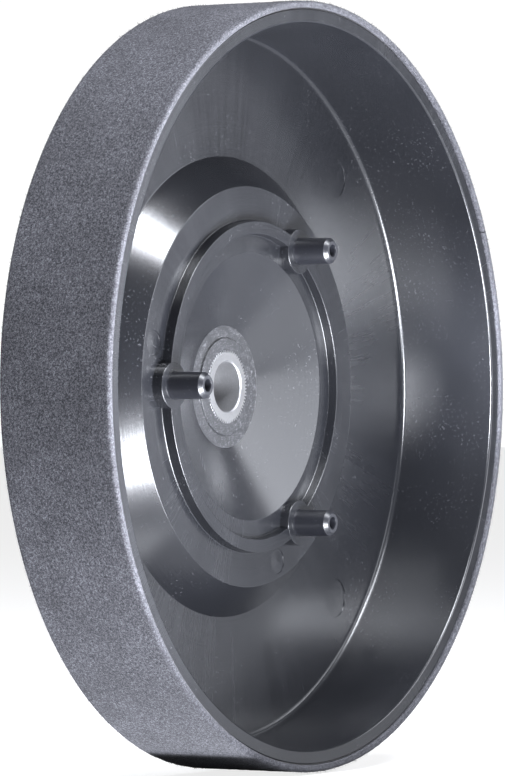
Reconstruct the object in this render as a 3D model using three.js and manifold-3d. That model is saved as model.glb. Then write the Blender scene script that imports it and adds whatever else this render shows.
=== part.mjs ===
// Drum-shaped polishing wheel: a moulded drum with a napped band bonded round its rim, a knurled
// metal bush pressed in the hub and three hollow drive pegs pressed in the face of the raised ring.
// Millimetres, +Z up. The wheel turns about Y and its open side faces -Y.
import * as THREE from 'three';
import { mergeVertices } from 'three/addons/utils/BufferGeometryUtils.js';
import Module from 'manifold-3d';

const wasm = await Module();
wasm.setup();

// ---- driving dimensions; axial sizes are measured from the back edge of the band ----
const WHEEL_RADIUS = 90.0;        // over the band
const BAND_WIDTH = 29.0;
const BAND_INNER = 88.3;
const FILM_OUTER = 88.25;
const FILM_INNER = 88.05;
const RIM_RADIUS = 88.0;          // outside of the drum
const RIM_BACK = 0.3;
const LIP_LEVEL = 28.4;           // plain edge of the rim on the open side
const RIM_INNER_LIP = 84.85;
const RIM_INNER_WEB = 84.1;
const WEB_LEVEL = 3.3;
const WALL = 3.0;
const FOOT_RADIUS = 54.3;         // foot of the sloping shoulder
const RING_RADIUS = 47.15;        // top of the sloping shoulder
const RING_LEVEL = 10.2;
const RIB_OUTER = 38.95;
const RIB_INNER = 35.9;
const RIB_LEVEL = 12.75;
const DISH_RADIUS = 31.35;        // top of the dished centre
const HUB_DISC_RADIUS = 14.3;
const HUB_DISC_LEVEL = 3.2;
const HUB_BOSS_RADIUS = 11.55;
const HUB_BOSS_LEVEL = 3.8;
const HUB_SOCKET = 8.75;
const HUB_BACK = -5.9;            // the sleeve stands out behind the band's back edge
const BUSH_RADIUS = 8.7;
const BUSH_FRONT = 3.85;
const BUSH_BACK = -6.15;
const BORE_RADIUS = 6.0;
const KNURL_TEETH = 64;
const KNURL_DEPTH = 0.3;
const PEG_COUNT = 3;
const PEG_CIRCLE = 37.3;          // radius of the circle the pegs stand on
const PEG_RADIUS = 3.2;
const PEG_BORE = 1.45;
const PEG_HEIGHT = 9.1;           // above the rib
const PEG_SET = 4.0;              // pressed below the rib
const BOSS_RADIUS = 5.4;
const RING_MARK = { radius: 3.0, circle: 43.2, depth: 0.15 };
const WEB_MARK = { radius: 4.7, circle: 72.5, depth: 0.15 };
const MARK_LEAD = -13;            // degrees from a peg to the mark beside it
const SPLICE = { gap: 0.4, slant: 25 };
const ROUND = 96;                 // facets round the large turned shapes
const AXIAL_MIDDLE = (BAND_WIDTH + BUSH_BACK) / 2;

const toY = (level) => AXIAL_MIDDLE - level;
const radians = THREE.MathUtils.degToRad;

// ---- shape helpers ----
function isClockwise(points) {
  let sum = 0;
  points.forEach(([r0, l0], i) => {
    const [r1, l1] = points[(i + 1) % points.length];
    sum += (r1 - r0) * (l1 + l0);
  });
  return sum > 0;
}

// Turns a closed outline of [radius, level] pairs about the Y axis.
function turned(outline, facets = ROUND) {
  const ordered = isClockwise(outline) ? outline : [...outline].reverse();
  const points = ordered.map(([radius, level]) => new THREE.Vector2(radius, toY(level)));
  points.push(points[0].clone());
  return new THREE.LatheGeometry(points, facets);
}

// A plain round bar from one level to another, standing on the wheel face at (x, z).
function bar(radius, low, high, x = 0, z = 0, facets = 32) {
  const geometry = new THREE.CylinderGeometry(radius, radius, high - low, facets);
  return geometry.translate(x, toY((low + high) / 2), z);
}

function solid(geometry) {
  const plain = geometry.clone();
  plain.deleteAttribute('normal');
  plain.deleteAttribute('uv');
  const merged = mergeVertices(plain, 1e-4);
  return new wasm.Manifold(new wasm.Mesh({
    numProp: 3,
    vertProperties: new Float32Array(merged.attributes.position.array),
    triVerts: new Uint32Array(merged.index.array),
  }));
}

function geometryOf(manifold) {
  const mesh = manifold.getMesh();
  const geometry = new THREE.BufferGeometry();
  geometry.setAttribute('position', new THREE.BufferAttribute(mesh.vertProperties, 3));
  geometry.setIndex(new THREE.BufferAttribute(mesh.triVerts, 1));
  geometry.computeVertexNormals();
  return geometry;
}

function piece(name, geometry, color, roughness, metalness) {
  const mesh = new THREE.Mesh(geometry, new THREE.MeshStandardMaterial({ color, roughness, metalness }));
  mesh.name = name;
  return mesh;
}

const pegAngles = Array.from({ length: PEG_COUNT }, (_, i) => 180 - (i * 360) / PEG_COUNT);
const onCircle = (radius, degrees) => [
  radius * Math.cos(radians(degrees)), radius * Math.sin(radians(degrees)),
];

// ---- the pieces ----
function drumOutline() {
  const slope = Math.atan2(RING_LEVEL - WEB_LEVEL, FOOT_RADIUS - RING_RADIUS);
  const dish = Math.atan2(RING_LEVEL - HUB_DISC_LEVEL, DISH_RADIUS - HUB_DISC_RADIUS);
  const under = RING_LEVEL - WALL;
  const footIn = WALL * Math.tan(slope / 2);
  const dishIn = WALL * Math.tan(dish / 2);
  return [
    [HUB_SOCKET, HUB_BOSS_LEVEL],
    [HUB_BOSS_RADIUS - 0.2, HUB_BOSS_LEVEL], [HUB_BOSS_RADIUS, HUB_BOSS_LEVEL - 0.2],
    [HUB_BOSS_RADIUS, HUB_DISC_LEVEL], [HUB_DISC_RADIUS, HUB_DISC_LEVEL],
    [DISH_RADIUS, RING_LEVEL],
    [RIB_INNER, RING_LEVEL], [RIB_INNER, RIB_LEVEL - 0.15], [RIB_INNER + 0.15, RIB_LEVEL],
    [RIB_OUTER - 0.15, RIB_LEVEL], [RIB_OUTER, RIB_LEVEL - 0.15], [RIB_OUTER, RING_LEVEL],
    [RING_RADIUS, RING_LEVEL],
    [FOOT_RADIUS, WEB_LEVEL],
    [RIM_INNER_WEB - 1.0, WEB_LEVEL], [RIM_INNER_WEB - 0.5, WEB_LEVEL + 0.13],
    [RIM_INNER_WEB - 0.12, WEB_LEVEL + 0.5], [RIM_INNER_WEB, WEB_LEVEL + 1.0],
    [RIM_INNER_LIP, LIP_LEVEL - 0.5], [RIM_INNER_LIP + 0.15, LIP_LEVEL - 0.15],
    [RIM_INNER_LIP + 0.5, LIP_LEVEL],
    [RIM_RADIUS - 0.2, LIP_LEVEL], [RIM_RADIUS, LIP_LEVEL - 0.2],
    [RIM_RADIUS, RIM_BACK + 0.3], [RIM_RADIUS - 0.3, RIM_BACK],
    [FOOT_RADIUS - footIn, RIM_BACK],
    [RING_RADIUS - footIn, under],
    [DISH_RADIUS + dishIn, under],
    [HUB_DISC_RADIUS + dishIn, RIM_BACK],
    [HUB_BOSS_RADIUS + 0.9, RIM_BACK], [HUB_BOSS_RADIUS + 0.7, HUB_BACK + 0.3],
    [HUB_BOSS_RADIUS + 0.4, HUB_BACK], [HUB_SOCKET, HUB_BACK],
  ];
}

function drum() {
  let body = solid(turned(drumOutline()));
  for (const degrees of pegAngles) {
    const [x, z] = onCircle(PEG_CIRCLE, degrees);
    body = body.add(solid(bar(BOSS_RADIUS, RING_LEVEL - 0.5, RIB_LEVEL, x, z, 40)));
    const socket = bar(PEG_RADIUS + 0.05, RIB_LEVEL - PEG_SET, RIB_LEVEL + 1, x, z);
    body = body.subtract(solid(socket));
    const [u, v] = onCircle(RING_MARK.circle, degrees + MARK_LEAD);
    const mark = bar(RING_MARK.radius, RING_LEVEL - RING_MARK.depth, RING_LEVEL + 1, u, v);
    body = body.subtract(solid(mark));
  }
  for (const degrees of [45, 135, 225, 315]) {
    const [x, z] = onCircle(WEB_MARK.circle, degrees);
    const mark = bar(WEB_MARK.radius, WEB_LEVEL - WEB_MARK.depth, WEB_LEVEL + 1, x, z);
    body = body.subtract(solid(mark));
  }
  return piece('drum', geometryOf(body), 0x30333a, 0.42, 0.0);
}

function hubBush() {
  const outline = new THREE.Shape();
  for (let i = 0; i < KNURL_TEETH * 2; i += 1) {
    const radius = i % 2 ? BUSH_RADIUS - KNURL_DEPTH : BUSH_RADIUS;
    const angle = (i * Math.PI) / KNURL_TEETH;
    const x = radius * Math.cos(angle);
    const y = radius * Math.sin(angle);
    if (i) outline.lineTo(x, y);
    else outline.moveTo(x, y);
  }
  outline.closePath();
  const length = BUSH_FRONT - BUSH_BACK + 1;
  const knurled = new THREE.ExtrudeGeometry(outline, { depth: length, bevelEnabled: false });
  knurled.rotateX(-Math.PI / 2).translate(0, toY(BUSH_FRONT) - 0.5, 0);
  const blank = turned([
    [BORE_RADIUS, BUSH_BACK + 0.4], [BORE_RADIUS, BUSH_FRONT - 0.4],
    [BORE_RADIUS + 0.4, BUSH_FRONT], [BUSH_RADIUS - 0.25, BUSH_FRONT],
    [BUSH_RADIUS + 0.1, BUSH_FRONT - 0.35], [BUSH_RADIUS + 0.1, BUSH_BACK + 0.35],
    [BUSH_RADIUS - 0.25, BUSH_BACK], [BORE_RADIUS + 0.4, BUSH_BACK],
  ], 64);
  return piece('hub_bush', geometryOf(solid(knurled).intersect(solid(blank))), 0xc9ccd1, 0.3, 1.0);
}

function adhesiveFilm() {
  const outline = [
    [FILM_INNER, 0.8], [FILM_OUTER, 0.8], [FILM_OUTER, LIP_LEVEL - 0.3], [FILM_INNER, LIP_LEVEL - 0.3],
  ];
  return piece('adhesive_film', turned(outline), 0x2a2725, 0.6, 0.0);
}

function nappedBand() {
  const ring = solid(turned([
    [BAND_INNER, 0], [WHEEL_RADIUS - 0.6, 0], [WHEEL_RADIUS - 0.15, 0.2], [WHEEL_RADIUS, 0.7],
    [WHEEL_RADIUS, BAND_WIDTH - 0.7], [WHEEL_RADIUS - 0.15, BAND_WIDTH - 0.2],
    [WHEEL_RADIUS - 0.6, BAND_WIDTH], [BAND_INNER, BAND_WIDTH],
  ]));
  const slot = new THREE.BoxGeometry(SPLICE.gap, BAND_WIDTH * 1.5, 8);
  slot.rotateZ(radians(SPLICE.slant));
  slot.translate(0, toY(BAND_WIDTH / 2), WHEEL_RADIUS - 1);
  slot.rotateY(radians(60));
  return piece('napped_band', geometryOf(ring.subtract(solid(slot))), 0x7d8088, 0.95, 0.0);
}

function drivePeg(index, degrees) {
  const foot = RIB_LEVEL - PEG_SET + 0.1;
  const tip = RIB_LEVEL + PEG_HEIGHT;
  const geometry = turned([
    [PEG_BORE, foot], [PEG_RADIUS - 0.3, foot], [PEG_RADIUS, foot + 0.4],
    [PEG_RADIUS, RIB_LEVEL], [PEG_RADIUS - 0.1, tip - 0.85], [PEG_RADIUS - 0.95, tip],
    [PEG_BORE + 0.1, tip], [PEG_BORE, tip - 0.2],
  ], 32);
  const [x, z] = onCircle(PEG_CIRCLE, degrees);
  const mesh = piece(`drive_peg_${index + 1}`, geometry, 0x24252c, 0.4, 0.0);
  mesh.position.set(x, 0, z);
  return mesh;
}

const wheel = new THREE.Group();
wheel.name = 'felt_polishing_wheel';
wheel.add(drum(), hubBush(), adhesiveFilm(), nappedBand());
pegAngles.forEach((degrees, index) => wheel.add(drivePeg(index, degrees)));

export default wheel;
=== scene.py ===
"""Felt polishing wheel: a drum-shaped moulding, its napped band, knurled bush and drive pegs.

Laid out as an add-on and run as a script. All sizes are in metres. The wheel turns about Y and
its open side faces -Y; a level is a distance from the back edge of the band towards that side.
"""
import math

import bmesh
import bpy
import numpy as np
from mathutils import Matrix, Vector, noise


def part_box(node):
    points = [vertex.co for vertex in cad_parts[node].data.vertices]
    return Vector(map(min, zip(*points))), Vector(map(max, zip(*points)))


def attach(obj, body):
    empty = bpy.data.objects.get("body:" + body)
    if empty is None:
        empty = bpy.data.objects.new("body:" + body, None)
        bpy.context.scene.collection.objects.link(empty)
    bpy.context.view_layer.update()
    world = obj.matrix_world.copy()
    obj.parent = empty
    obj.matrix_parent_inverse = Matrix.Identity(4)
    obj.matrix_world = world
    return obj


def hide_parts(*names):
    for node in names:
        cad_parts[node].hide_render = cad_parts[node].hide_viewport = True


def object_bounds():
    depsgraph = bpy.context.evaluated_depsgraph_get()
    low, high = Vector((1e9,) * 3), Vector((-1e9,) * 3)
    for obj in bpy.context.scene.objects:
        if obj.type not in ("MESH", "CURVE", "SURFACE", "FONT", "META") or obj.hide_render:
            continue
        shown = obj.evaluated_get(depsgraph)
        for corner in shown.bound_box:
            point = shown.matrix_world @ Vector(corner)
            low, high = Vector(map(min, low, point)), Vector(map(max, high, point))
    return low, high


bl_info = {
    "name": "Felt polishing wheel",
    "version": (1, 0, 0),
    "blender": (4, 5, 0),
    "location": "View3D > Sidebar > Polishing wheel",
    "description": "Builds a felt polishing wheel piece by piece round its frame",
    "category": "Add Mesh",
}

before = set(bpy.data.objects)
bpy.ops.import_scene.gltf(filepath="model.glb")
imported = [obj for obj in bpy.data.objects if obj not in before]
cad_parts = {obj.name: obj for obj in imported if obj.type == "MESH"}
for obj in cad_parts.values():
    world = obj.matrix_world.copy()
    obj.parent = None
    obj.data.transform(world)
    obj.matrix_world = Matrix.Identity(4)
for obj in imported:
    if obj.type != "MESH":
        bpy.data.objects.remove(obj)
FRAME_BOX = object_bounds()
MM = 0.001
AXIS_REACH = 1e-7
WELD_REACH = 1e-6
TINY = 1e-9

BAND_LOW, BAND_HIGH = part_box("napped_band")
DRUM_LOW, DRUM_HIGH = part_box("drum")
BUSH_LOW, BUSH_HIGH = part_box("hub_bush")
PEG_BOXES = [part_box(f"drive_peg_{i}") for i in (1, 2, 3)]
BACK = BAND_HIGH.y


# ---------------------------------------------------------------- settings


def length(name, description, default):
    """A setting in metres."""
    return bpy.props.FloatProperty(
        name=name, description=description, default=default, unit="LENGTH", precision=5
    )


def colour(name, description, default):
    """A setting that holds a colour."""
    return bpy.props.FloatVectorProperty(
        name=name, description=description, default=default, subtype="COLOR", size=3, min=0, max=1
    )


class WheelSizes(bpy.types.PropertyGroup):
    """Sizes of the moulded drum, the bush and the pegs"""

    lip_level: length("Lip level", "Level of the rim's plain edge", BACK - DRUM_LOW.y)
    rim_radius: length("Rim radius", "Outside of the moulded rim", DRUM_HIGH.x)
    rim_inner: length("Rim inside", "Inside of the rim at its lip", 0.08485)
    wall_inner: length("Wall inside", "Inside of the rim at the web", 0.0841)
    web_level: length("Web level", "Level of the flat web", 0.0033)
    foot_radius: length("Shoulder foot", "Foot of the sloping shoulder", 0.0543)
    ring_radius: length("Ring radius", "Top edge of the sloping shoulder", 0.04715)
    ring_level: length("Ring level", "Level of the flat ring", 0.0102)
    rib_outer: length("Rib outside", "Outside of the raised rib", 0.03895)
    rib_inner: length("Rib inside", "Inside of the raised rib", 0.0359)
    rib_level: length("Rib level", "Level of the rib's top", 0.01275)
    dish_radius: length("Dish radius", "Top edge of the dished centre", 0.03150)
    hub_radius: length("Hub disc radius", "Flat disc at the bottom of the dish", 0.0143)
    boss_radius: length("Peg boss radius", "Round boss under each peg", 0.0054)
    hub_level: length("Hub disc level", "Level of the flat disc", 0.0032)
    collar_radius: length("Collar radius", "Low collar round the bush", 0.0116)
    collar_level: length("Collar level", "Level of the low collar", 0.0038)
    sleeve_radius: length("Sleeve radius", "Sleeve behind the hub, at its foot", 0.01245)
    wall: length("Wall", "Thickness of the moulded walls", 0.003)
    web_mark_radius: length("Web mark radius", "Push-out marks in the web", 0.0047)
    web_mark_circle: length("Web mark circle", "Radius they lie on", 0.0725)
    ring_mark_radius: length("Ring mark radius", "Push-out marks in the ring", 0.003)
    ring_mark_circle: length("Ring mark circle", "Radius they lie on", 0.0432)
    bush_radius: length("Bush radius", "Over the knurl", BUSH_HIGH.x)
    bore_radius: length("Bore radius", "Bore of the bush", 0.0060)
    peg_radius: length("Peg radius", "Outside of a drive peg", 0.00318)
    peg_bore: length("Peg bore", "Hole down a drive peg", 0.00142)
    knurl_depth: length("Knurl depth", "Depth of the cuts in the knurl", 0.0008)
    knurl_teeth: bpy.props.IntProperty(
        name="Knurl teeth", description="Teeth round the bush", default=66, min=12
    )


class NapSizes(bpy.types.PropertyGroup):
    """Sizes of the napped band"""

    radius: length("Band radius", "Over the nap", BAND_HIGH.x)
    inner: length("Band inside", "Back of the band", 0.0883)
    width: length("Band width", "Across the band", BAND_HIGH.y - BAND_LOW.y)
    corner: length("Corner", "Rounding of the band's edges", 0.0007)
    lump_height: length("Lump height", "Unevenness of the nap", 0.00016)
    fibre_length: length("Fibre length", "Longest loose fibre at a cut edge", 0.0011)
    fibres_per_edge: bpy.props.IntProperty(
        name="Fibres per edge", description="Loose fibres along one cut edge", default=3600, min=0
    )
    clumps_per_edge: bpy.props.IntProperty(
        name="Clumps per edge", description="Places where loose fibres gather", default=900, min=1
    )
    fibres_on_face: bpy.props.IntProperty(
        name="Fibres on face", description="Loose fibres on the band's face", default=4200, min=0
    )
    seed: bpy.props.IntProperty(name="Seed", description="Seed of the loose fibres", default=7)


class WheelFinishes(bpy.types.PropertyGroup):
    """Colours of the finishes"""

    plastic: colour("Drum plastic", "Moulded drum", (0.0080, 0.0084, 0.0100))
    peg: colour("Peg plastic", "Drive pegs", (0.0080, 0.0084, 0.0110))
    felt: colour("Felt", "Body of the nap", (0.046, 0.046, 0.052))
    felt_dark: colour("Felt shade", "Between the fibres", (0.012, 0.012, 0.015))
    # Felt tips also colours the painted sheen along the band's front edge.
    felt_light: colour("Felt tips", "Fibre tips and cut edges", (0.125, 0.125, 0.138))
    metal: colour("Bush metal", "Faced metal of the bush", (0.42, 0.42, 0.43))
    glue: colour("Adhesive", "Film under the band", (0.018, 0.017, 0.017))
    floor: colour("Floor", "Studio floor", (0.32, 0.32, 0.325))
    light: colour("Light", "Tint of the lights", (0.90, 0.93, 1.0))


class StudioSettings(bpy.types.PropertyGroup):
    """Camera and lights"""

    azimuth: bpy.props.FloatProperty(
        name="Azimuth", description="Camera's way round the wheel", default=math.radians(-58.55),
        subtype="ANGLE",
    )
    elevation: bpy.props.FloatProperty(
        name="Elevation", description="Camera's height angle", default=math.radians(-0.43),
        subtype="ANGLE",
    )
    distance: length("Distance", "Camera to the point it looks at", 1.2294)
    aim_left: length("Aim left", "How far left of the rib's centre it looks", 0.00157)
    aim_down: length("Aim down", "How far under the rib's centre it looks", 0.000334)
    lens: bpy.props.FloatProperty(
        name="Lens", description="Focal length in millimetres", default=242.66, min=1
    )
    floor_glow: bpy.props.FloatProperty(
        name="Floor glow", description="How much the floor is lifted towards white", default=0.80,
        min=0,
    )
    fill: bpy.props.FloatProperty(
        name="Fill", description="Strength of the light from all round", default=0.09, min=0
    )


def settings():
    """The wheel's settings in the open scene."""
    return bpy.context.scene.polishing_wheel


# ---------------------------------------------------------------- mesh making


def outline_normals(points, arc_normals):
    """Shading normals where each stretch of an outline starts and ends."""
    here = np.array(points)
    along = np.roll(here, -1, axis=0) - here
    area = np.sum(here[:, 0] * np.roll(here[:, 1], -1) - np.roll(here[:, 0], -1) * here[:, 1])
    side = np.sign(area)
    flat = np.stack([along[:, 1] * side, -along[:, 0] * side], axis=1)
    flat /= np.linalg.norm(flat, axis=1)[:, None]
    start, end = flat.copy(), flat.copy()
    for i, normal in enumerate(arc_normals):
        if normal is not None:
            normal = np.array(normal)
            out = normal * np.sign(np.dot(normal, flat[i] + flat[i - 1]))
            start[i], end[i - 1] = out, out
    return start, end


def rounded(corners, steps=5):
    """Turns [radius, level, rounding] corners into an outline with arcs and shading normals."""
    points, arc_normals = [], []
    count = len(corners)
    for i, (r, level, rounding) in enumerate(corners):
        here = Vector((r, level))
        before = Vector(corners[i - 1][:2]) - here
        after = Vector(corners[(i + 1) % count][:2]) - here
        if rounding <= 0:
            points.append((r, level))
            arc_normals.append(None)
            continue
        half = before.angle(after) / 2
        reach = min(rounding / math.tan(half), before.length * 0.48, after.length * 0.48)
        radius = reach * math.tan(half)
        centre = here + (before.normalized() + after.normalized()).normalized() * (
            radius / math.sin(half)
        )
        start = here + before.normalized() * reach - centre
        end = here + after.normalized() * reach - centre
        turn = start.angle_signed(end)
        for k in range(steps + 1):
            spoke = Matrix.Rotation(-turn * k / steps, 2) @ start
            points.append(tuple(centre + spoke))
            arc_normals.append(tuple(spoke.normalized()))
    return np.array(points), *outline_normals(points, arc_normals)


def plain(points):
    """An outline with sharp corners."""
    return np.array(points), *outline_normals(points, [None] * len(points))


def build_mesh(name, verts, faces):
    """A linked object from points and faces, with its normals facing outwards."""
    mesh = bpy.data.meshes.new(name)
    mesh.from_pydata([tuple(v) for v in verts], [], [tuple(f) for f in faces])
    mesh.validate()
    bm = bmesh.new()
    bm.from_mesh(mesh)
    bmesh.ops.recalc_face_normals(bm, faces=bm.faces)
    bm.to_mesh(mesh)
    bm.free()
    obj = bpy.data.objects.new(name, mesh)
    bpy.context.scene.collection.objects.link(obj)
    return obj


def mesh_from(name, verts, faces, smooth_angle=35):
    """A smooth-shaded object that keeps edges sharper than the angle."""
    obj = build_mesh(name, verts, faces)
    obj.data.shade_smooth()
    obj.data.set_sharp_from_angle(angle=math.radians(smooth_angle))
    return obj


def tidy_mesh(mesh, reach):
    """Welds points that meet, drops what is left without a face and closes small gaps."""
    bm = bmesh.new()
    bm.from_mesh(mesh)
    bmesh.ops.remove_doubles(bm, verts=bm.verts, dist=reach)
    bmesh.ops.dissolve_degenerate(bm, edges=bm.edges, dist=reach)
    bmesh.ops.delete(bm, geom=[edge for edge in bm.edges if not edge.link_faces], context="EDGES")
    bmesh.ops.delete(bm, geom=[vert for vert in bm.verts if not vert.link_faces], context="VERTS")
    rim = [edge for edge in bm.edges if len(edge.link_faces) == 1]
    bmesh.ops.holes_fill(bm, edges=rim, sides=0)
    bmesh.ops.recalc_face_normals(bm, faces=bm.faces)
    bm.to_mesh(mesh)
    bm.free()


def turned(name, outline, facets, centre=(0.0, 0.0), wobble=None, source=0):
    """Turns a closed outline of (radius, level) about the wheel's axis or one beside it."""
    rows = outline[0]
    angles = np.linspace(0, 2 * math.pi, facets, endpoint=False)
    radii = np.repeat(rows[:, 0][:, None], facets, axis=1)
    if wobble is not None:
        radii = wobble(radii, rows, angles)
    x = centre[0] + radii * np.cos(angles)
    z = centre[1] + radii * np.sin(angles)
    y = np.repeat((BACK - rows[:, 1])[:, None], facets, axis=1)
    verts = np.stack([x, y, z], axis=2).reshape(-1, 3)
    faces = []
    count = len(rows)
    for i in range(count):
        a, b = i * facets, ((i + 1) % count) * facets
        for j in range(facets):
            k = (j + 1) % facets
            faces.append((a + j, a + k, b + k, b + j))
    obj = build_mesh(name, verts, faces)
    if rows[:, 0].min() <= 0:
        tidy_mesh(obj.data, AXIS_REACH)
    obj.data.polygons.foreach_set(
        "material_index", np.full(len(obj.data.polygons), source, dtype=np.int32)
    )
    if wobble is None:
        shade_turned(obj.data, [(outline, centre)])
    else:
        obj.data.shade_smooth()
        obj.data.set_sharp_from_angle(angle=math.radians(30))
    return obj


def shade_turned(mesh, sources):
    """Gives every face the exact normals of the turned outline it was cut from."""
    mesh.shade_smooth()
    faces, corners, points = len(mesh.polygons), len(mesh.loops), len(mesh.vertices)
    where = np.empty(points * 3)
    mesh.vertices.foreach_get("co", where)
    where = where.reshape(-1, 3)
    middle, facing = np.empty(faces * 3), np.empty(faces * 3)
    source, size = np.empty(faces, dtype=np.int32), np.empty(faces, dtype=np.int32)
    corner_point = np.empty(corners, dtype=np.int32)
    mesh.polygons.foreach_get("center", middle)
    mesh.polygons.foreach_get("normal", facing)
    mesh.polygons.foreach_get("material_index", source)
    mesh.polygons.foreach_get("loop_total", size)
    mesh.loops.foreach_get("vertex_index", corner_point)
    middle, facing = middle.reshape(-1, 3), facing.reshape(-1, 3)
    corner_face = np.repeat(np.arange(faces), size)
    normals = facing[corner_face].copy()
    for index, ((rows, start, end), centre) in enumerate(sources):
        mine = np.nonzero(source == index)[0]
        if not len(mine):
            continue
        ahead = np.roll(rows, -1, axis=0) - rows
        span = np.sum(ahead ** 2, axis=1)
        spot = np.stack([
            np.hypot(middle[mine, 0] - centre[0], middle[mine, 2] - centre[1]),
            BACK - middle[mine, 1],
        ], axis=1)
        gap = spot[:, None, :] - rows[None, :, :]
        t = np.clip(np.sum(gap * ahead[None], axis=2) / span[None], 0, 1)
        miss = np.linalg.norm(gap - t[:, :, None] * ahead[None], axis=2)
        best = np.full(faces, -1)
        best[mine] = np.argmin(miss, axis=1)
        picked = np.nonzero(best[corner_face] >= 0)[0]
        stretch = best[corner_face[picked]]
        at = where[corner_point[picked]]
        out = np.stack([at[:, 0] - centre[0], at[:, 2] - centre[1]], axis=1)
        radius = np.linalg.norm(out, axis=1)
        out /= np.maximum(radius, TINY)[:, None]
        gap = np.stack([radius, BACK - at[:, 1]], axis=1) - rows[stretch]
        t = np.clip(np.sum(gap * ahead[stretch], axis=1) / span[stretch], 0, 1)[:, None]
        shade = start[stretch] * (1 - t) + end[stretch] * t
        normals[picked] = np.stack(
            [out[:, 0] * shade[:, 0], -shade[:, 1], out[:, 1] * shade[:, 0]], axis=1
        )
    normals /= np.maximum(np.linalg.norm(normals, axis=1), TINY)[:, None]
    mesh.normals_split_custom_set(normals.tolist())


def combine(target, others, operation):
    """Joins solids to the target or cuts them out of it, and leaves one clean mesh."""
    for other in others:
        step = target.modifiers.new("combine", "BOOLEAN")
        step.operation, step.solver, step.object = operation, "EXACT", other
    depsgraph = bpy.context.evaluated_depsgraph_get()
    result = bpy.data.meshes.new_from_object(target.evaluated_get(depsgraph))
    target.modifiers.clear()
    target.data = result
    for other in others:
        bpy.data.objects.remove(other)
    tidy_mesh(result, WELD_REACH)


def settle(obj, material, slot, *nodes):
    """Gives a finished piece its material and its body, and hides the frame nodes it stands for."""
    obj.data.materials.clear()
    obj.data.materials.append(material)
    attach(obj, "root")
    if nodes:
        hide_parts(*nodes)
    return obj


# ---------------------------------------------------------------- shader helpers


class Board:
    """A short way to place and join shader nodes in one tree."""

    def __init__(self, tree):
        self.tree = tree

    def join(self, source, target):
        self.tree.links.new(source, target)

    def add(self, kind, fields=None, **inputs):
        """A node; an input is given by its name, or by i and its number."""
        node = self.tree.nodes.new(kind)
        for key, value in (fields or {}).items():
            setattr(node, key, value)
        for key, value in inputs.items():
            by_number = key[1:].isdigit()
            socket = node.inputs[int(key[1:]) if by_number else key.replace("_", " ")]
            if isinstance(value, bpy.types.NodeSocket):
                self.join(value, socket)
            else:
                socket.default_value = value
        return node

    def math(self, operation, a, b=0.0):
        return self.add("ShaderNodeMath", {"operation": operation}, i0=a, i1=b).outputs[0]

    def times(self, a, b):
        return self.math("MULTIPLY", a, b)

    def plus(self, a, b):
        return self.math("ADD", a, b)

    def span(self, value, low, high, to_low=0.0, to_high=1.0, smooth_step=False):
        kind = "SMOOTHSTEP" if smooth_step else "LINEAR"
        return self.add(
            "ShaderNodeMapRange", {"interpolation_type": kind}, i0=value, i1=low, i2=high,
            i3=to_low, i4=to_high,
        ).outputs[0]

    def blend(self, factor, a, b):
        node = self.add("ShaderNodeMix", {"data_type": "RGBA"})
        for socket, value in ((node.inputs[0], factor), (node.inputs[6], a), (node.inputs[7], b)):
            if isinstance(value, bpy.types.NodeSocket):
                self.join(value, socket)
            else:
                socket.default_value = value
        return node.outputs[2]

    def noise(self, vector, scale, detail=3.0, rough=0.55):
        return self.add(
            "ShaderNodeTexNoise", None, Vector=vector, Scale=scale, Detail=detail, Roughness=rough
        ).outputs[0]

    def place(self):
        return self.add("ShaderNodeTexCoord").outputs["Object"]

    def vector(self, operation, a, **inputs):
        return self.add("ShaderNodeVectorMath", {"operation": operation}, i0=a, **inputs).outputs

    def group(self, tree, **inputs):
        return self.add("ShaderNodeGroup", {"node_tree": tree}, **inputs).outputs

    def bump(self, height, strength, distance, **inputs):
        return self.add(
            "ShaderNodeBump", None, Strength=strength, Distance=distance, Height=height, **inputs
        ).outputs[0]


def group_tree(name, inputs, outputs):
    """Starts a shader node group with named sockets, and gives its board and ends."""
    tree = bpy.data.node_groups.new(name, "ShaderNodeTree")
    for label, kind, default in inputs:
        socket = tree.interface.new_socket(label, in_out="INPUT", socket_type=kind)
        if default is not None:
            socket.default_value = default
    for label, kind in outputs:
        tree.interface.new_socket(label, in_out="OUTPUT", socket_type=kind)
    board = Board(tree)
    return board, board.add("NodeGroupInput"), board.add("NodeGroupOutput")


def turned_marks_group():
    """Fine rings left by the turned mould, and fainter hairlines that run out from the hub."""
    name = "Turned marks"
    if name in bpy.data.node_groups:
        return bpy.data.node_groups[name]
    board, start, end = group_tree(
        name,
        [("Rings", "NodeSocketFloat", 1300.0), ("Hairlines", "NodeSocketFloat", 60.0)],
        [
            ("Height", "NodeSocketFloat"), ("Hairline", "NodeSocketFloat"),
            ("Radius", "NodeSocketFloat"),
        ],
    )
    place = board.place()
    flat = board.vector("MULTIPLY", place, i1=(1, 0, 1))[0]
    radius = board.vector("LENGTH", flat)["Value"]
    rings = board.times(radius, start.outputs["Rings"])
    fine = board.add(
        "ShaderNodeTexNoise", {"noise_dimensions": "1D"}, W=rings, Scale=1.0, Detail=2.0,
        Roughness=0.6,
    )
    around = board.vector("NORMALIZE", flat)[0]
    fan = board.vector("SCALE", around, Scale=start.outputs["Hairlines"])[0]
    drift = board.vector("SCALE", place, Scale=25.0)[0]
    hair = board.noise(board.vector("ADD", fan, i1=drift)[0], 1.0, 3.0, 0.6)
    facing = board.add(
        "ShaderNodeSeparateXYZ", None, Vector=board.add("ShaderNodeTexCoord").outputs["Normal"]
    ).outputs["Y"]
    level_face = board.span(board.math("ABSOLUTE", facing), 0.86, 0.99)
    clear_of_hub = board.span(radius, 0.0150, 0.0250)
    strand = board.times(board.span(hair, 0.30, 0.70), board.times(level_face, clear_of_hub))
    board.join(fine.outputs[0], end.inputs["Height"])
    board.join(strand, end.inputs["Hairline"])
    board.join(radius, end.inputs["Radius"])
    return board.tree


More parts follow.
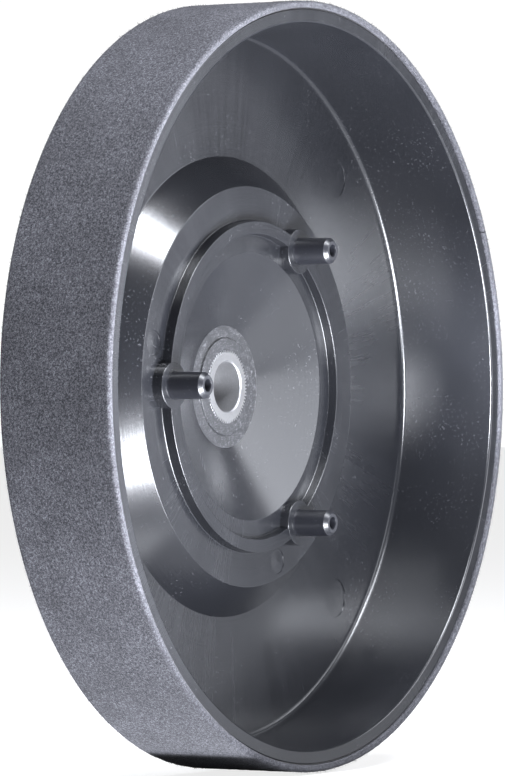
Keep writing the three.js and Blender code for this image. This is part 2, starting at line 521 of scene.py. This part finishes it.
def moulded_skin_group():
    """The faint unevenness of a moulded surface, and the marks that handling leaves on it."""
    name = "Moulded skin"
    if name in bpy.data.node_groups:
        return bpy.data.node_groups[name]
    board, start, end = group_tree(
        name,
        [("Grain", "NodeSocketFloat", 1400.0), ("Smudges", "NodeSocketFloat", 28.0)],
        [("Height", "NodeSocketFloat"), ("Smudge", "NodeSocketFloat"), ("Dust", "NodeSocketFloat")],
    )
    place = board.place()
    grain = board.noise(place, start.outputs["Grain"], 2.0, 0.5)
    cloud = board.noise(place, start.outputs["Smudges"], 3.0, 0.55)
    speck = board.span(board.noise(place, 1900.0, 1.0, 0.5), 0.66, 0.76)
    dusty = board.span(board.noise(place, 60.0, 3.0, 0.6), 0.40, 0.65)
    board.join(grain, end.inputs["Height"])
    board.join(board.span(cloud, 0.35, 0.68), end.inputs["Smudge"])
    board.join(board.times(speck, dusty), end.inputs["Dust"])
    return board.tree


def faced_group():
    """Rough criss-cross marks of a face that was cut flat after moulding."""
    name = "Faced marks"
    if name in bpy.data.node_groups:
        return bpy.data.node_groups[name]
    board, start, end = group_tree(
        name,
        [("Scale", "NodeSocketFloat", 4600.0)],
        [("Height", "NodeSocketFloat"), ("Scratch", "NodeSocketFloat")],
    )
    place = board.place()
    layers = []
    for turn, stretch in ((0.5, 9.0), (-0.9, 7.0), (1.7, 8.0)):
        spun = board.add(
            "ShaderNodeVectorRotate", {"rotation_type": "Y_AXIS"}, Vector=place, Angle=turn
        )
        pulled = board.vector("MULTIPLY", spun.outputs[0], i1=(1.0, 1.0, 1.0 / stretch))[0]
        layers.append(board.noise(pulled, start.outputs["Scale"], 2.0, 0.6))
    mixed = board.plus(board.plus(layers[0], layers[1]), layers[2])
    board.join(board.span(mixed, 1.1, 1.9), end.inputs["Height"])
    board.join(board.span(mixed, 1.55, 1.85), end.inputs["Scratch"])
    return board.tree


def nap_group():
    """Short dense nap: mottled fibres, clumps and brushed patches."""
    name = "Nap"
    if name in bpy.data.node_groups:
        return bpy.data.node_groups[name]
    board, start, end = group_tree(
        name,
        [
            ("Fibre", "NodeSocketFloat", 4000.0),
            ("Body", "NodeSocketColor", (0.2, 0.2, 0.2, 1)),
            ("Shade", "NodeSocketColor", (0.1, 0.1, 0.1, 1)),
            ("Tips", "NodeSocketColor", (0.5, 0.5, 0.5, 1)),
        ],
        [("Color", "NodeSocketColor"), ("Height", "NodeSocketFloat")],
    )
    place = board.place()
    fibre = board.noise(place, start.outputs["Fibre"], 4.0, 0.72)
    clump = board.noise(place, 1700.0, 3.0, 0.65)
    grain = board.plus(board.times(fibre, 0.65), board.times(clump, 0.35))
    patch = board.noise(place, 34.0, 4.0, 0.62)
    brushed = board.noise(place, 130.0, 2.0, 0.5)
    base = board.blend(
        board.span(grain, 0.40, 0.53), start.outputs["Shade"], start.outputs["Body"]
    )
    tips = board.blend(board.span(grain, 0.50, 0.64), base, start.outputs["Tips"])
    tone = board.plus(
        board.span(patch, 0.32, 0.68, 0.78, 1.16), board.span(brushed, 0.3, 0.7, -0.06, 0.06)
    )
    board.join(board.vector("SCALE", tips, Scale=tone)[0], end.inputs["Color"])
    board.join(grain, end.inputs["Height"])
    return board.tree


def new_material(name):
    """A material with its board and its surface shader."""
    material = bpy.data.materials.new(name)
    material.use_nodes = True
    board = Board(material.node_tree)
    surface = material.node_tree.nodes["Principled BSDF"]
    return material, board, surface


def rgba(values, scale=1.0):
    """A colour with its strength scaled, for a shader socket."""
    return (*[min(1.0, v * scale) for v in values], 1.0)


def finish_surface(board, surface, shade, gloss, normal):
    """Joins the colour, roughness and normal of a finish to its shader."""
    board.join(shade, surface.inputs["Base Color"])
    if isinstance(gloss, float):
        surface.inputs["Roughness"].default_value = gloss
    else:
        board.join(gloss, surface.inputs["Roughness"])
    board.join(normal, surface.inputs["Normal"])


def plastic_material(name, tint, ring_strength, rough, faced=0.0):
    """Satin moulded plastic with turned marks and smudges, faced rough inside a radius."""
    material, board, surface = new_material(name)
    marks = board.group(turned_marks_group())
    skin = board.group(moulded_skin_group())
    shade = board.blend(board.times(marks["Hairline"], 0.6), rgba(tint, 0.88), rgba(tint, 1.18))
    shade = board.blend(board.times(skin["Smudge"], 0.4), shade, rgba(tint, 1.5))
    shade = board.blend(board.times(skin["Dust"], 0.10), shade, (0.4, 0.4, 0.42, 1))
    gloss = board.plus(board.times(skin["Smudge"], 0.06), board.times(marks["Hairline"], 0.04))
    gloss = board.plus(gloss, rough)
    normal = board.bump(marks["Height"], ring_strength, 0.04 * MM)
    normal = board.bump(marks["Hairline"], 0.012, 0.02 * MM, Normal=normal)
    normal = board.bump(skin["Height"], 0.05, 0.04 * MM, Normal=normal)
    if faced > 0:
        cut = board.group(faced_group())
        inside = board.span(marks["Radius"], faced, faced + 0.2 * MM, 1.0, 0.0)
        scratch = board.times(cut["Scratch"], inside)
        shade = board.blend(board.times(scratch, 0.75), shade, (0.12, 0.12, 0.13, 1))
        gloss = board.plus(gloss, board.times(inside, 0.28))
        normal = board.bump(board.times(cut["Height"], inside), 0.12, 0.08 * MM, Normal=normal)
    finish_surface(board, surface, shade, gloss, normal)
    surface.inputs["IOR"].default_value = 1.50
    return material


def felt_material(name, edge_sheen):
    """Short napped felt, with a painted sheen that lightens its colour along the cut front edge."""
    finish, nap_sizes = settings().finishes, settings().nap
    material, board, surface = new_material(name)
    nap = board.group(
        nap_group(), Body=rgba(finish.felt), Shade=rgba(finish.felt_dark),
        Tips=rgba(finish.felt_light),
    )
    place = board.place()
    along = board.add("ShaderNodeSeparateXYZ", None, Vector=place).outputs["Y"]
    level = board.math("SUBTRACT", BACK, along)
    # Painted sheen: the colour is lightened towards the band's front edge, standing in for light
    # caught by the fuzz there.
    front = board.span(
        level, nap_sizes.width - 1.6 * MM, nap_sizes.width - 0.1 * MM, smooth_step=True
    )
    ragged = board.span(board.noise(place, 700.0, 3.0, 0.6), 0.35, 0.62, 0.35, 1.0)
    painted_edge_sheen = board.times(board.times(front, ragged), edge_sheen)
    shade = board.blend(painted_edge_sheen, nap["Color"], rgba(finish.felt_light))
    finish_surface(board, surface, shade, 0.95, board.bump(nap["Height"], 0.9, 0.2 * MM))
    surface.inputs["Specular IOR Level"].default_value = 0.15
    surface.inputs["Sheen Weight"].default_value = 0.03
    surface.inputs["Sheen Roughness"].default_value = 0.5
    return material


def metal_material():
    """Bright faced metal, duller and rougher down its bore."""
    material, board, surface = new_material("Bush metal")
    tint, bore = settings().finishes.metal, settings().sizes.bore_radius
    marks = board.group(turned_marks_group())
    cut = board.group(faced_group())
    skin = board.group(moulded_skin_group(), Grain=2600.0)
    inside = board.span(marks["Radius"], bore + 0.1 * MM, bore + 0.4 * MM, 1.0, 0.0)
    shade = board.blend(board.times(cut["Scratch"], 0.5), rgba(tint), rgba(tint, 0.7))
    shade = board.blend(board.times(inside, 0.85), shade, rgba(tint, 0.60))
    speckle = board.times(board.times(cut["Scratch"], inside), 0.6)
    shade = board.blend(speckle, shade, rgba(tint, 0.95))
    gloss = board.plus(board.times(skin["Smudge"], 0.08), 0.27)
    gloss = board.plus(gloss, board.times(inside, 0.30))
    finish_surface(board, surface, shade, gloss, board.bump(cut["Height"], 0.15, 0.04 * MM))
    surface.inputs["Metallic"].default_value = 1.0
    return material


def glue_material():
    """Dark contact adhesive with a slightly lumpy skin."""
    material, board, surface = new_material("Adhesive")
    skin = board.group(moulded_skin_group(), Grain=900.0)
    tint = settings().finishes.glue
    shade = board.blend(skin["Smudge"], rgba(tint), rgba(tint, 2.0))
    finish_surface(board, surface, shade, 0.5, board.bump(skin["Height"], 0.6, 0.2 * MM))
    return material


# ---------------------------------------------------------------- pieces

CUT_FACE = 9


def peg_centres():
    """Where the pegs stand on the wheel's face."""
    return [((lo.x + hi.x) / 2, (lo.z + hi.z) / 2) for lo, hi in PEG_BOXES]


def drum_outline(s):
    """The drum's cross-section, from the bush out to the lip and back behind the web."""
    slope = math.atan2(s.ring_level - s.web_level, s.foot_radius - s.ring_radius)
    dish_top = s.ring_level + 0.25 * MM
    dish = math.atan2(dish_top - s.hub_level, s.dish_radius - s.hub_radius)
    foot_in = s.wall * math.tan(slope / 2)
    dish_in = s.wall * math.tan(dish / 2)
    under = s.ring_level - s.wall
    back = BACK - DRUM_HIGH.y
    rim_back = 0.3 * MM
    socket = s.bush_radius - 0.75 * MM
    return rounded([
        (socket, s.collar_level, 0.08 * MM),
        (s.collar_radius - 0.10 * MM, s.collar_level, 0.22 * MM),
        (s.collar_radius, s.hub_level, 0.15 * MM),
        (s.hub_radius, s.hub_level, 0.8 * MM),
        (s.dish_radius, dish_top, 0.30 * MM),
        (s.rib_inner - 0.08 * MM, dish_top, 0.25 * MM),
        (s.rib_inner, s.rib_level, 0.20 * MM),
        (s.rib_outer, s.rib_level, 0.20 * MM),
        (s.rib_outer + 0.10 * MM, s.ring_level, 0.30 * MM),
        (s.ring_radius, s.ring_level, 0.35 * MM),
        (s.foot_radius, s.web_level, 0.35 * MM),
        (s.wall_inner, s.web_level, 1.3 * MM),
        (s.rim_inner, s.lip_level, 0.50 * MM),
        (s.rim_radius, s.lip_level, 0.25 * MM),
        (s.rim_radius, rim_back, 0.30 * MM),
        (s.foot_radius - foot_in, rim_back, 1.0 * MM),
        (s.ring_radius - foot_in, under, 1.2 * MM),
        (s.dish_radius + dish_in, under, 1.2 * MM),
        (s.hub_radius + dish_in, rim_back, 0.8 * MM),
        (s.sleeve_radius, rim_back, 0.5 * MM),
        (s.sleeve_radius - 0.20 * MM, back, 0.4 * MM),
        (socket, back, 0.08 * MM),
    ])


def shallow_mark(name, radius, level, circle, around):
    """Cutter for the round mark that a mould's push-out pin leaves, at an angle on a circle."""
    above = level + 0.6 * MM
    return turned(name, plain([
        (0.0, level - 0.10 * MM), (radius - 0.10 * MM, level - 0.20 * MM),
        (radius, level + 0.02 * MM), (radius + 0.1 * MM, above), (0.0, above),
    ]), 64, (circle * math.cos(around), circle * math.sin(around)), source=CUT_FACE)


class WHEEL_OT_drum(bpy.types.Operator):
    """Makes the moulded drum: rim, web, raised ring with its rib and bosses, dished hub"""

    bl_idname = "wheel.drum"
    bl_label = "Moulded drum"

    def execute(self, context):
        s, finish = settings().sizes, settings().finishes
        outline = drum_outline(s)
        drum = turned("moulded_drum", outline, 400)
        boss_foot, boss_top = s.ring_level - 1.5 * MM, s.rib_level + 0.04 * MM
        boss_outline = rounded([
            (0.0, boss_foot, 0), (s.boss_radius + 0.1 * MM, boss_foot, 0),
            (s.boss_radius, boss_top, 0.20 * MM), (0.0, boss_top, 0),
        ])
        hole = s.peg_radius + 0.03 * MM
        hole_foot, hole_top = s.rib_level - 4 * MM, s.rib_level + 1 * MM
        hole_outline = plain([
            (0.0, hole_foot), (hole, hole_foot), (hole, hole_top), (0.0, hole_top),
        ])
        bosses, cutters, sources = [], [], [(outline, (0.0, 0.0))]
        for index, (x, z) in enumerate(peg_centres()):
            bosses.append(turned(f"boss_{index}", boss_outline, 96, (x, z), source=1 + index))
            sources.append((boss_outline, (x, z)))
            cutters.append(turned(f"socket_{index}", hole_outline, 70, (x, z), source=CUT_FACE))
            cutters.append(shallow_mark(
                f"ring_mark_{index}", s.ring_mark_radius, s.ring_level, s.ring_mark_circle,
                math.atan2(z, x) - math.radians(13),
            ))
        for index in range(4):
            cutters.append(shallow_mark(
                f"web_mark_{index}", s.web_mark_radius, s.web_level, s.web_mark_circle,
                math.radians(45 + 90 * index),
            ))
        combine(drum, bosses, "UNION")
        combine(drum, cutters, "DIFFERENCE")
        shade_turned(drum.data, sources)
        drum.data.polygons.foreach_set(
            "material_index", np.zeros(len(drum.data.polygons), dtype=np.int32)
        )
        material = plastic_material("Drum plastic", finish.plastic, 0.30, 0.20, s.hub_radius)
        settle(drum, material, "drum_plastic", "drum")
        return {"FINISHED"}


class WHEEL_OT_bush(bpy.types.Operator):
    """Makes the knurled metal bush with its chamfered bore"""

    bl_idname = "wheel.bush"
    bl_label = "Knurled bush"

    def execute(self, context):
        s = settings().sizes
        front, back = BACK - BUSH_LOW.y + 0.14 * MM, BACK - BUSH_HIGH.y
        outline = rounded([
            (s.bore_radius, back, 0.25 * MM), (s.bore_radius, front, 0.30 * MM),
            (s.bush_radius, front, 0.06 * MM), (s.bush_radius, back, 0.10 * MM),
        ], 1)
        teeth = s.knurl_teeth

        def knurl(radii, rows, angles):
            outer = rows[:, 0] > s.bush_radius - 0.15 * MM
            phase = (angles * teeth / (2 * math.pi)) % 1.0
            cut = np.clip(np.abs(phase - 0.5) * 2.8 - 0.3, 0, 1) * s.knurl_depth
            return radii - outer[:, None] * cut[None, :]

        bush = turned("knurled_bush", outline, teeth * 8, wobble=knurl)
        settle(bush, metal_material(), "bush_metal", "hub_bush")
        return {"FINISHED"}


class WHEEL_OT_pegs(bpy.types.Operator):
    """Makes the three hollow drive pegs"""

    bl_idname = "wheel.pegs"
    bl_label = "Drive pegs"

    def execute(self, context):
        s, finish = settings().sizes, settings().finishes
        material = plastic_material("Peg plastic", finish.peg, 0.15, 0.33)
        for index, (x, z) in enumerate(peg_centres()):
            low, high = PEG_BOXES[index]
            foot, tip = BACK - high.y, BACK - low.y
            outline = rounded([
                (s.peg_bore, foot, 0), (s.peg_radius, foot, 0.3 * MM),
                (s.peg_radius, s.rib_level + 0.02 * MM, 0),
                (s.peg_radius + 0.10 * MM, s.rib_level + 0.03 * MM, 0),
                (s.peg_radius, s.rib_level + 0.45 * MM, 0.3 * MM),
                (s.peg_radius - 0.10 * MM, tip - 0.85 * MM, 0.08 * MM),
                (s.peg_radius - 0.92 * MM, tip, 0.10 * MM),
                (s.peg_bore + 0.08 * MM, tip, 0.08 * MM),
                (s.peg_bore, tip - 0.4 * MM, 0.05 * MM),
            ], 3)
            peg = turned(f"hollow_peg_{index + 1}", outline, 72, (x, z))
            settle(peg, material, "peg_plastic", f"drive_peg_{index + 1}")
        return {"FINISHED"}


class WHEEL_OT_adhesive(bpy.types.Operator):
    """Gives the adhesive film between rim and band its finish"""

    bl_idname = "wheel.adhesive"
    bl_label = "Adhesive film"

    def execute(self, context):
        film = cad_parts["adhesive_film"]
        film.data.materials.clear()
        film.data.materials.append(glue_material())
        return {"FINISHED"}


SPLICE_ANGLE = math.radians(30)
SPLICE_SLANT = math.radians(25)
SPLICE_GAP = 0.4 * MM
NAP_STEP, BACKING_STEP = 0.5 * MM, 1.5 * MM
BAND_COLUMNS = 1100


def splice_shift(level, n):
    """How far round the splice lies at a level, as an angle at the band's radius."""
    return math.tan(SPLICE_SLANT) * (n.width / 2 - level) / n.radius


class WHEEL_OT_band(bpy.types.Operator):
    """Makes the napped band as one strip with a slanted splice"""

    bl_idname = "wheel.band"
    bl_label = "Napped band"

    def execute(self, context):
        n = settings().nap
        outline = rounded([
            (n.inner, 0.05 * MM, 0.15 * MM), (n.inner, n.width - 0.05 * MM, 0.15 * MM),
            (n.radius, n.width, n.corner), (n.radius, 0, n.corner),
        ], 5)
        dense = []
        for i, (r, level) in enumerate(outline[0]):
            dense.append((r, level))
            r2, level2 = outline[0][(i + 1) % len(outline[0])]
            step = NAP_STEP if min(r, r2) > n.radius - 0.3 * MM else BACKING_STEP
            pieces = int(math.hypot(r2 - r, level2 - level) / step)
            for k in range(1, pieces):
                t = k / pieces
                dense.append((r + (r2 - r) * t, level + (level2 - level) * t))
        verts, faces = [], []
        middle = (n.inner + n.radius) / 2
        for j in range(BAND_COLUMNS + 1):
            for r, level in dense:
                start = SPLICE_ANGLE + splice_shift(level, n) + SPLICE_GAP / 2 / n.radius
                angle = start + (2 * math.pi - SPLICE_GAP / n.radius) * j / BAND_COLUMNS
                x, z = math.cos(angle), math.sin(angle)
                y = BACK - level
                if r > n.inner + 0.4 * MM:
                    fine = noise.noise(Vector((x * r, y, z * r)) * 1400) * 0.5
                    fine += noise.noise(Vector((x * r, y, z * r)) * 420) * 0.5
                    lift = (fine - 0.45) * n.lump_height
                    out = max(-1.0, min(1.0, (level - n.width / 2) / (n.width / 2 - n.corner)))
                    across = max(0.0, abs(out) - 0.97) / 0.03
                    radial = 1.0 if r > n.radius - 0.5 * MM else (r - middle) / (n.radius - middle)
                    r = r + lift * max(0.0, radial)
                    y = y - math.copysign(lift, out) * across * 0.8
                verts.append((x * r, y, z * r))
        count = len(dense)
        for j in range(BAND_COLUMNS):
            for i in range(count):
                k = (i + 1) % count
                a, b = j * count, (j + 1) * count
                faces.append((a + i, a + k, b + k, b + i))
        faces.append(tuple(range(count)))
        faces.append(tuple(BAND_COLUMNS * count + i for i in reversed(range(count))))
        band = mesh_from("felt_band", verts, faces, 60)
        # 0.12 is the strength of the painted sheen at the band's front edge.
        settle(band, felt_material("Felt", 0.12), "band_felt", "napped_band")
        return {"FINISHED"}


THIRDS = (0, math.tau / 3, 2 * math.tau / 3)


class WHEEL_OT_fibres(bpy.types.Operator):
    """Makes the loose fibres that stand out of the band's cut edges and face"""

    bl_idname = "wheel.fibres"
    bl_label = "Loose fibres"

    def execute(self, context):
        n = settings().nap
        random = np.random.default_rng(n.seed)
        verts, faces = [], []

        def fibre(root, lean, side, size, thick):
            """One thin three-sided fibre that bends to one side."""
            base = len(verts)
            across = lean.cross(side).normalized()
            ring = [(side * math.cos(a) + across * math.sin(a)) for a in THIRDS]
            for t, width in ((-0.15, 1.0), (0.5, 0.8)):
                middle = root + lean * (size * t) + side * (size * 0.35 * t * abs(t))
                verts.extend(middle + d * thick * width for d in ring)
            verts.append(root + lean * size + side * size * 0.45)
            faces.append((base, base + 2, base + 1))
            for k in range(3):
                m = (k + 1) % 3
                faces.append((base + k, base + m, base + 3 + m, base + 3 + k))
                faces.append((base + 3 + k, base + 3 + m, base + 6))

        def place(angle, r, level, out, up, length_scale):
            radial = Vector((math.cos(angle), 0, math.sin(angle)))
            around = Vector((-math.sin(angle), 0, math.cos(angle)))
            root = radial * r + Vector((0, BACK - level, 0))
            lean = radial * up + Vector((0, -out, 0)) + around * random.normal(0, 0.6)
            lean.normalize()
            side = (around * random.normal() + radial * random.normal() * 0.4).cross(lean)
            size = n.fibre_length * (0.25 + 0.75 * random.random() ** 2) * length_scale
            fibre(root, lean, side.normalized(), size, (0.016 + 0.012 * random.random()) * MM)

        for edge, out in ((n.width, 1.0), (0.0, -1.0)):
            clumps = random.random(n.clumps_per_edge) * 2 * math.pi
            for _ in range(n.fibres_per_edge):
                angle = random.random() * 2 * math.pi
                if random.random() < 0.55:
                    angle = clumps[random.integers(n.clumps_per_edge)] + random.normal(0, 0.003)
                depth = abs(random.normal(0, 0.35)) * MM
                if random.random() < 0.5:
                    level = edge - out * (0.3 * MM + depth)
                    place(angle, n.radius - 0.12 * MM, level, out * 0.5, 1.0, 0.75)
                else:
                    r = n.radius - 0.3 * MM - min(depth * 1.6, 1.2 * MM)
                    place(angle, r, edge - out * 0.06 * MM, out, 0.45, 0.6)
        for _ in range(n.fibres_on_face):
            level = 0.4 * MM + random.random() * (n.width - 0.8 * MM)
            angle = random.random() * 2 * math.pi
            place(angle, n.radius - 0.1 * MM, level, random.normal() * 0.8, 0.7, 0.5)
        fibres = mesh_from("loose_fibres", verts, faces, 80)
        # 0.12 is the strength of the painted sheen on fibres at the band's front edge.
        settle(fibres, felt_material("Loose fibre", 0.12), "band_felt")
        return {"FINISHED"}


# ---------------------------------------------------------------- studio


def soft_light(name, direction, distance, size, power, aim=(0, 0, 0)):
    """A rectangular soft light, given by the compass direction it shines from."""
    azimuth, elevation = (math.radians(a) for a in direction)
    way = Vector((
        math.sin(azimuth) * math.cos(elevation), -math.cos(azimuth) * math.cos(elevation),
        math.sin(elevation),
    ))
    lamp = bpy.data.lights.new(name, "AREA")
    lamp.shape, lamp.size, lamp.size_y = "RECTANGLE", size[0], size[1]
    lamp.energy, lamp.color = power, settings().finishes.light
    obj = bpy.data.objects.new(name, lamp)
    obj.location = Vector(aim) + way * distance
    obj.rotation_euler = way.to_track_quat("Z", "Y").to_euler()
    obj.visible_camera = False
    bpy.context.scene.collection.objects.link(obj)
    return obj


def floor_panel(name, place, size, turn, power):
    """A lit panel that lies on the floor and shines straight up."""
    panel = soft_light(name, (0, 90), 0.0, size, power, place)
    panel.rotation_euler = (math.pi, 0, math.radians(turn))
    return panel


class WHEEL_OT_stage(bpy.types.Operator):
    """Makes the pale floor, the soft lights and the camera"""

    bl_idname = "wheel.stage"
    bl_label = "Studio"

    def execute(self, context):
        studio, finish = settings().studio, settings().finishes
        scene = context.scene
        scene.view_settings.view_transform = "Standard"
        floor_level = FRAME_BOX[0].z - 0.0006
        rings, ring_points = (0.0, 0.4, 1.2, 3.0, 8.0, 20.0), 96
        verts, faces = [(0, 0, floor_level)], []
        for ring in rings[1:]:
            for k in range(ring_points):
                a = 2 * math.pi * k / ring_points
                verts.append((ring * math.cos(a), ring * math.sin(a), floor_level))
        for k in range(ring_points):
            faces.append((0, 1 + k, 1 + (k + 1) % ring_points))
        for i in range(len(rings) - 2):
            a, b = 1 + i * ring_points, 1 + (i + 1) * ring_points
            for k in range(ring_points):
                m = (k + 1) % ring_points
                faces.append((a + k, b + k, b + m, a + m))
        floor = mesh_from("studio_floor", verts, faces)
        material, board, surface = new_material("Studio floor")
        cloud = board.noise(board.place(), 6.0, 2.0)
        shade = board.blend(cloud, rgba(finish.floor, 0.99), rgba(finish.floor, 1.01))
        board.join(shade, surface.inputs["Base Color"])
        surface.inputs["Roughness"].default_value = 0.7
        surface.inputs["Emission Color"].default_value = (1, 1, 1, 1)
        seen_floor = board.add("ShaderNodeLightPath").outputs["Is Camera Ray"]
        glow = board.times(seen_floor, studio.floor_glow)
        board.join(glow, surface.inputs["Emission Strength"])
        floor.data.materials.append(material)

        world = bpy.data.worlds.new("Studio")
        scene.world = world
        world.use_nodes = True
        board = Board(world.node_tree)
        sky = world.node_tree.nodes["Background"]
        sky.inputs["Color"].default_value = (1, 1, 1, 1)
        seen = board.add("ShaderNodeLightPath").outputs["Is Camera Ray"]
        strength = board.span(seen, 0.0, 1.0, studio.fill, 1.05)
        board.join(strength, sky.inputs["Strength"])

        soft_light("Front softbox", (30, 12), 0.9, (0.70, 0.62), 9.4)
        soft_light("Left softbox", (-82, 4), 1.0, (0.5, 0.6), 4.0)
        soft_light("Top softbox", (-64, 68), 1.0, (0.6, 0.5), 26.0)
        soft_light("High lamp", (-4, 55), 0.9, (0.20, 0.19), 9.0)
        low = FRAME_BOX[0].z + 0.004
        floor_panel("Front panel", (0.15, -0.32, low), (0.14, 0.38), 26, 0.3)
        floor_panel("Low panel", (-0.078, -0.20, low), (0.13, 0.22), -15, 7.5)
        floor_panel("Left panel", (-0.10, 0.02, low), (0.14, 0.12), 0, 0.22)
        card = soft_light("Rim card", (-79, 0), 0.085, (0.016, 0.03), 0.03, (0.084, -0.014, 0.008))
        card.data.spread = math.radians(40)

        camera_data = bpy.data.cameras.new("Camera")
        camera = bpy.data.objects.new("Camera", camera_data)
        scene.collection.objects.link(camera)
        camera_data.lens, camera_data.sensor_width = studio.lens, 36.0
        camera_data.clip_start, camera_data.clip_end = 0.05, 60.0
        a, e = studio.azimuth, studio.elevation
        back = Vector((math.sin(a) * math.cos(e), -math.cos(a) * math.cos(e), math.sin(e)))
        turn = back.to_track_quat("Z", "Y")
        right, up = turn @ Vector((1, 0, 0)), turn @ Vector((0, 1, 0))
        rib_centre = Vector((0, BACK - settings().sizes.rib_level, 0))
        aim = rib_centre - right * studio.aim_left - up * studio.aim_down
        camera.location = aim + back * studio.distance
        camera.rotation_mode = "QUATERNION"
        camera.rotation_quaternion = turn
        scene.camera = camera
        return {"FINISHED"}


# ---------------------------------------------------------------- panel and registration


class PolishingWheel(bpy.types.PropertyGroup):
    """All settings of the wheel"""

    sizes: bpy.props.PointerProperty(
        type=WheelSizes, name="Sizes", description="Drum, bush and pegs"
    )
    nap: bpy.props.PointerProperty(type=NapSizes, name="Nap", description="The napped band")
    finishes: bpy.props.PointerProperty(
        type=WheelFinishes, name="Finishes", description="Colours of the finishes"
    )
    studio: bpy.props.PointerProperty(
        type=StudioSettings, name="Studio", description="Camera and lights"
    )


OPERATORS = (
    WHEEL_OT_stage, WHEEL_OT_drum, WHEEL_OT_bush, WHEEL_OT_pegs, WHEEL_OT_adhesive,
    WHEEL_OT_band, WHEEL_OT_fibres,
)


class WHEEL_PT_panel(bpy.types.Panel):
    """Lists the wheel's pieces and settings"""

    bl_idname = "WHEEL_PT_panel"
    bl_label = "Polishing wheel"
    bl_space_type = "VIEW_3D"
    bl_region_type = "UI"
    bl_category = "Polishing wheel"

    def draw(self, context):
        wheel = context.scene.polishing_wheel
        for operator in OPERATORS:
            self.layout.operator(operator.bl_idname, text=operator.bl_label)
        for group in (wheel.sizes, wheel.nap, wheel.finishes, wheel.studio):
            box = self.layout.box()
            for name in group.__annotations__:
                box.prop(group, name)


CLASSES = (
    WheelSizes, NapSizes, WheelFinishes, StudioSettings, PolishingWheel, *OPERATORS,
    WHEEL_PT_panel,
)


def register():
    for cls in CLASSES:
        bpy.utils.register_class(cls)
    bpy.types.Scene.polishing_wheel = bpy.props.PointerProperty(
        type=PolishingWheel, name="Polishing wheel", description="Settings of the polishing wheel"
    )


def unregister():
    del bpy.types.Scene.polishing_wheel
    for cls in reversed(CLASSES):
        bpy.utils.unregister_class(cls)


def main():
    register()
    for operator in OPERATORS:
        category, name = operator.bl_idname.split(".")
        if getattr(getattr(bpy.ops, category), name)() != {"FINISHED"}:
            raise RuntimeError(f"{operator.bl_label} could not be made")


if __name__ == "__main__":
    main()
